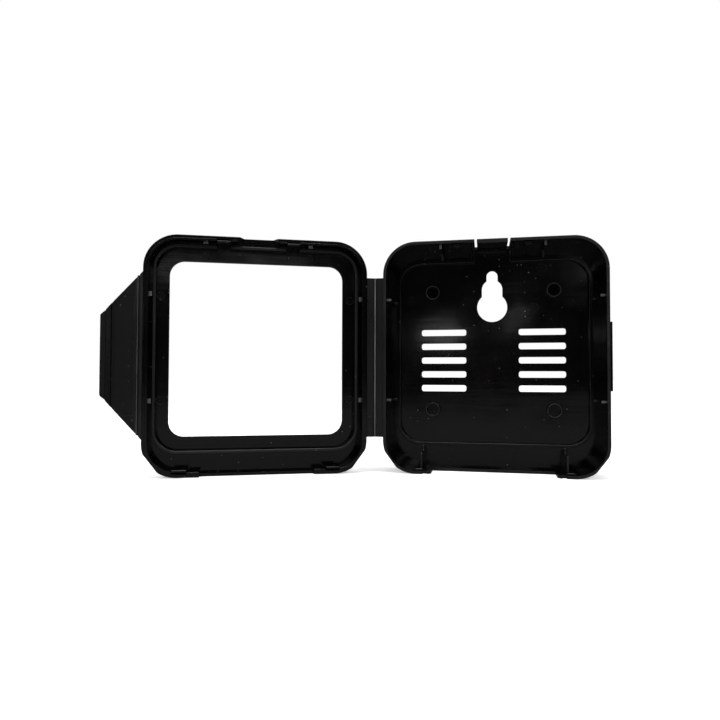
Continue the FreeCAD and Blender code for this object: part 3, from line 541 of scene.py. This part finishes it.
def foldedRibbon(name, path, low, high, thickness):
    # one upright strip, drawn out edge by edge along the path, then given its wall
    clearSelection()
    middle = (low + high) / 2
    bpy.ops.mesh.primitive_plane_add(size=1, location=(0, 0, middle), rotation=(math.radians(90), 0, 0))
    ribbon = bpy.context.object
    ribbon.name = name
    bpy.ops.object.transform_apply(location=True, rotation=True, scale=True)
    for vertex in ribbon.data.vertices:
        end = path[0] if vertex.co.x < 0 else path[1]
        vertex.co = (end.x, end.y, low if vertex.co.z < middle else high)
        vertex.select = end is path[1]
    for edge in ribbon.data.edges:
        edge.select = all(ribbon.data.vertices[index].select for index in edge.vertices)
    for polygon in ribbon.data.polygons:
        polygon.select = False
    bpy.ops.object.mode_set(mode="EDIT")
    bpy.ops.mesh.select_mode(type="EDGE")
    for start, end in zip(path[1:], path[2:]):
        bpy.ops.mesh.extrude_region_move(TRANSFORM_OT_translate={"value": tuple(end - start)})
    bpy.ops.mesh.select_mode(type="VERT")
    bpy.ops.mesh.select_all(action="SELECT")
    bpy.ops.mesh.normals_make_consistent(inside=False)
    bpy.ops.object.mode_set(mode="OBJECT")
    if ribbon.data.polygons[0].normal.y > 0:
        makeActive(ribbon)
        bpy.ops.object.mode_set(mode="EDIT")
        bpy.ops.mesh.select_all(action="SELECT")
        bpy.ops.mesh.flip_normals()
        bpy.ops.object.mode_set(mode="OBJECT")
    applyModifier(ribbon, "SOLIDIFY", thickness=thickness, offset=-1, use_even_offset=False)
    return ribbon


def hingeWeb(name, hinge, tilts, node):
    path = hingePath(hinge, tilts)
    web = foldedRibbon(name, path, hinge["low"] * mm, hinge["high"] * mm, hinge["wall"] * mm)
    web.data.materials.append(satinPlastic)
    web.data.materials.append(hinge["tone"])
    crest = (path[5] + path[6]) / 2
    # faces of the crest that look out of the open side take the pale crease tone: stress whitening and
    # a painted highlight
    for polygon in web.data.polygons:
        aside = math.hypot(polygon.center.x - crest.x, polygon.center.y - crest.y)
        facing = polygon.normal.y < -0.3
        polygon.material_index = 1 if facing and aside < hinge["crease"] * mm else 0
    smoothByAngle(web, 50)
    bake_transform(web)
    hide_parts(node)
    return web


coverHinge = {
    "axis": (-60.9, -22.1),
    "profile": (
        (0.75, 0.9), (0.6, 0.75), (0.45, 0.65), (0.32, 0.4), (0.18, 0.16), (0.06, 0.08),
        (-0.06, 0.08), (-0.18, 0.16), (-0.32, 0.4), (-0.45, 0.65), (-0.6, 0.75), (-0.75, 0.9),
    ),
    "bend": 0.45,
    "crease": 0.3,
    "tone": creaseWhiteningAndHighlightPlastic,
    "wall": 0.22,
    "low": -42,
    "high": 42,
}
flapHinge = {
    "axis": (-171.417, -67.699),
    "profile": (
        (0.6, -0.1), (0.4, -0.2), (0.2, -0.28), (0.02, -0.45), (-0.12, -0.6), (-0.22, -0.64),
        (-0.32, -0.63), (-0.42, -0.5), (-0.5, -0.28), (-0.55, -0.2), (-0.6, -0.1),
    ),
    "bend": 0.4,
    "crease": 0.16,
    "tone": paleCreaseWhiteningAndHighlightPlastic,
    "wall": 0.22,
    "low": -39.4,
    "high": 39.4,
}
hingeWeb(
    "cover_hinge_crease", coverHinge, (0, moulding["openTilt"]), "living_hinge_web"
)
hingeWeb(
    "flap_hinge_crease",
    flapHinge,
    (moulding["openTilt"], moulding["openTilt"]),
    "flap_hinge_web",
)
print("hinge webs made")


# White sweep: floor, backdrop light and soft lamps

stage = {
    "floorSize": 24,
    "floorGap": 0.05 * mm,
    "floorColour": (0.9, 0.9, 0.9, 1),
    "floorInGloss": (0.16, 0.16, 0.16, 1),
    "floorLift": 0.42,
    "ambient": 0.75,
    "domeRadius": 1.5,
    "domeDark": 0.01,
    "domeBright": 0.75,
    "domeRise": (0.19, 0.85),
    "domeAside": 0.15,
    "sideBright": 0.3,
    "sideRise": (0.7, 1.05),
}


def seenDirectly(tree, place):
    # 1 where a camera, glossy or transmission ray looks, 0 for light that falls on the object
    path = addNode(tree, "ShaderNodeLightPath", place)
    first = addNode(tree, "ShaderNodeMath", (place[0] + 200, place[1]), operation="MAXIMUM")
    link(tree, path, "Is Camera Ray", first, 0)
    link(tree, path, "Is Glossy Ray", first, 1)
    second = addNode(tree, "ShaderNodeMath", (place[0] + 400, place[1]), operation="MAXIMUM")
    link(tree, first, "Value", second, 0)
    link(tree, path, "Is Transmission Ray", second, 1)
    return second


def makeFloor():
    clearSelection()
    bpy.ops.mesh.primitive_plane_add(
        size=stage["floorSize"], location=(0, 0, cadLow.z - stage["floorGap"])
    )
    floor = bpy.context.object
    floor.name = "floor"
    material = bpy.data.materials.new("paperWhite")
    material.use_nodes = True
    tree = material.node_tree
    shader = tree.nodes["Principled BSDF"]
    shader.inputs["Roughness"].default_value = 0.8
    shader.inputs["Specular IOR Level"].default_value = 0.1
    shader.inputs["Emission Color"].default_value = (1, 1, 1, 1)
    path = addNode(tree, "ShaderNodeLightPath", (-700, 0))
    tone = addNode(tree, "ShaderNodeMix", (-300, 100), data_type="RGBA")
    tone.inputs[6].default_value = stage["floorColour"]
    tone.inputs[7].default_value = stage["floorInGloss"]
    tree.links.new(path.outputs["Is Glossy Ray"], tone.inputs[0])
    tree.links.new(tone.outputs[2], shader.inputs["Base Color"])
    lift = addNode(tree, "ShaderNodeMath", (-300, -200), operation="MULTIPLY")
    lift.inputs[1].default_value = stage["floorLift"]
    link(tree, path, "Is Camera Ray", lift, 0)
    link(tree, lift, "Value", shader, "Emission Strength")
    floor.data.materials.append(material)


def makeWorld():
    world = bpy.data.worlds.new("whiteSweep")
    bpy.context.scene.world = world
    world.use_nodes = True
    tree = world.node_tree
    background = tree.nodes["Background"]
    background.inputs["Color"].default_value = (1, 1, 1, 1)
    seen = seenDirectly(tree, (-900, 0))
    strength = addNode(tree, "ShaderNodeMapRange", (-250, 0))
    strength.inputs["To Min"].default_value = stage["ambient"]
    strength.inputs["To Max"].default_value = 1
    link(tree, seen, "Value", strength, "Value")
    link(tree, strength, "Result", background, "Strength")


def makeFlagDome():
    # dark cloth round the set, seen only in the plastic's gloss, open and bright overhead
    clearSelection()
    bpy.ops.mesh.primitive_uv_sphere_add(radius=stage["domeRadius"], segments=48, ring_count=24)
    dome = bpy.context.object
    dome.name = "flagDome"
    material = bpy.data.materials.new("flagCloth")
    material.use_nodes = True
    tree = material.node_tree
    tree.nodes.remove(tree.nodes["Principled BSDF"])
    glow = addNode(tree, "ShaderNodeEmission", (0, 0))
    place = addNode(tree, "ShaderNodeTexCoord", (-1100, 0))
    split = addNode(tree, "ShaderNodeSeparateXYZ", (-900, 0))
    link(tree, place, "Object", split, "Vector")
    ahead = addNode(tree, "ShaderNodeMath", (-800, 200), operation="SUBTRACT")
    ahead.inputs[1].default_value = stage["domeAside"] * stage["domeRadius"]
    link(tree, split, "X", ahead, 0)
    aside = addNode(tree, "ShaderNodeMath", (-650, 200), operation="ABSOLUTE")
    link(tree, ahead, "Value", aside, 0)
    over = addNode(tree, "ShaderNodeMapRange", (-450, -100), interpolation_type="SMOOTHSTEP")
    over.inputs["From Min"].default_value = stage["domeRise"][0] * stage["domeRadius"]
    over.inputs["From Max"].default_value = stage["domeRise"][1] * stage["domeRadius"]
    over.inputs["To Min"].default_value = stage["domeDark"]
    over.inputs["To Max"].default_value = stage["domeBright"]
    link(tree, split, "Z", over, "Value")
    wings = addNode(tree, "ShaderNodeMapRange", (-450, 200), interpolation_type="SMOOTHSTEP")
    wings.inputs["From Min"].default_value = stage["sideRise"][0] * stage["domeRadius"]
    wings.inputs["From Max"].default_value = stage["sideRise"][1] * stage["domeRadius"]
    wings.inputs["To Min"].default_value = 0
    wings.inputs["To Max"].default_value = stage["sideBright"]
    link(tree, aside, "Value", wings, "Value")
    both = addNode(tree, "ShaderNodeMath", (-200, 0), operation="MAXIMUM")
    link(tree, over, "Result", both, 0)
    link(tree, wings, "Result", both, 1)
    link(tree, both, "Value", glow, "Strength")
    link(tree, glow, "Emission", tree.nodes["Material Output"], "Surface")
    dome.data.materials.append(material)
    dome.visible_camera = False
    dome.visible_diffuse = False
    dome.visible_transmission = False
    dome.visible_shadow = False


lamps = {
    "topSoft": {
        "place": (-0.06, -0.25, 0.9),
        "aim": (-0.06, 0, 0),
        "size": (0.5, 0.35),
        "power": 4.5,
        "twist": 0,
    },
    "leftKey": {
        "place": (-0.078, -0.7, 0.06),
        "aim": (-0.03, 0, 0.01),
        "size": (0.06, 0.015),
        "power": 0.0095,
        "twist": 0,
    },
    "rightKey": {
        "place": (0.073, -1.4, 0.154),
        "aim": (0.01, 0, 0.02),
        "size": (0.035, 0.085),
        "power": 0.015,
        "twist": -40,
    },
    "frameSheen": {
        "place": (0.42, -1.3, 0.272),
        "aim": (-0.11, 0, 0.05),
        "size": (0.42, 0.05),
        "power": 0.05,
        "twist": 0,
    },
    "leftSoft": {
        "place": (-0.6, -0.35, 0.6),
        "aim": (-0.06, 0, 0),
        "size": (0.25, 0.25),
        "power": 1.4,
        "twist": 0,
    },
    "rightSoft": {
        "place": (0.55, -0.4, 0.6),
        "aim": (-0.06, 0, 0),
        "size": (0.25, 0.25),
        "power": 1.4,
        "twist": 0,
    },
}


def makeLamps():
    for name, lamp in lamps.items():
        clearSelection()
        place, aim = Vector(lamp["place"]), Vector(lamp["aim"])
        turn = (aim - place).to_track_quat("-Z", "Y").to_euler()
        bpy.ops.object.light_add(type="AREA", location=place, rotation=turn)
        light = bpy.context.object
        light.name = name
        light.data.shape = "RECTANGLE"
        light.data.size, light.data.size_y = lamp["size"]
        light.data.energy = lamp["power"]
        light.rotation_euler.rotate_axis("Z", math.radians(lamp["twist"]))


camera = {
    "place": (-3.27 * mm, -341.3 * mm, -10.8 * mm),
    "pitch": 91.65,
    "roll": -0.155,
    "turn": 11.63,
    "lens": 30.65,
    "sensor": 36,
}


def makeCamera():
    clearSelection()
    bpy.ops.object.camera_add(
        location=camera["place"],
        rotation=[math.radians(camera[angle]) for angle in ("pitch", "roll", "turn")],
    )
    eye = bpy.context.object
    eye.data.sensor_width = camera["sensor"]
    eye.data.lens = camera["lens"]
    eye.data.clip_start = 0.01
    bpy.context.scene.camera = eye


makeFloor()
makeWorld()
makeFlagDome()
makeLamps()
makeCamera()
bpy.context.scene.view_settings.view_transform = "Standard"
print("stage, lamps and camera made")

clearSelection()
